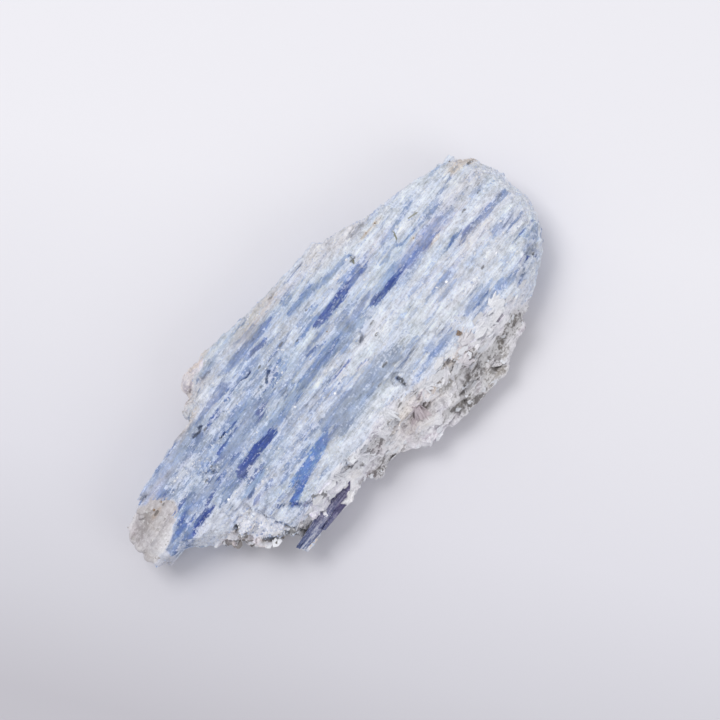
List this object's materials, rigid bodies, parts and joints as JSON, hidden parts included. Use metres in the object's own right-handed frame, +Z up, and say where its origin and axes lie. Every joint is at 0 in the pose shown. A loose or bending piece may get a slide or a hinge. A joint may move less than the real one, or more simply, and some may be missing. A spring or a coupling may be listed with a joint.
{
  "type": "kyanite specimen",
  "caption": "Hand-sized slab of bladed blue kyanite with pale mica rock on one flank, a quartz knob at its narrow end and a flat underside that it rests on.",
  "frame": {"origin": "on the surface that the stone lies on, under the middle of its bounding box", "axes": "+X along the slab from its narrow end to its wide end, +Y across it to the far flank, +Z up out of the blue face"},
  "size_m": [0.1052, 0.0472, 0.0169],
  "materials": {
    "kyanite": "rough broken crystal faces with a pearly sheen, blue to white"
  },
  "bodies": {
    "root": {"kyanite": "kyanite"}
  },
  "joints": []
}
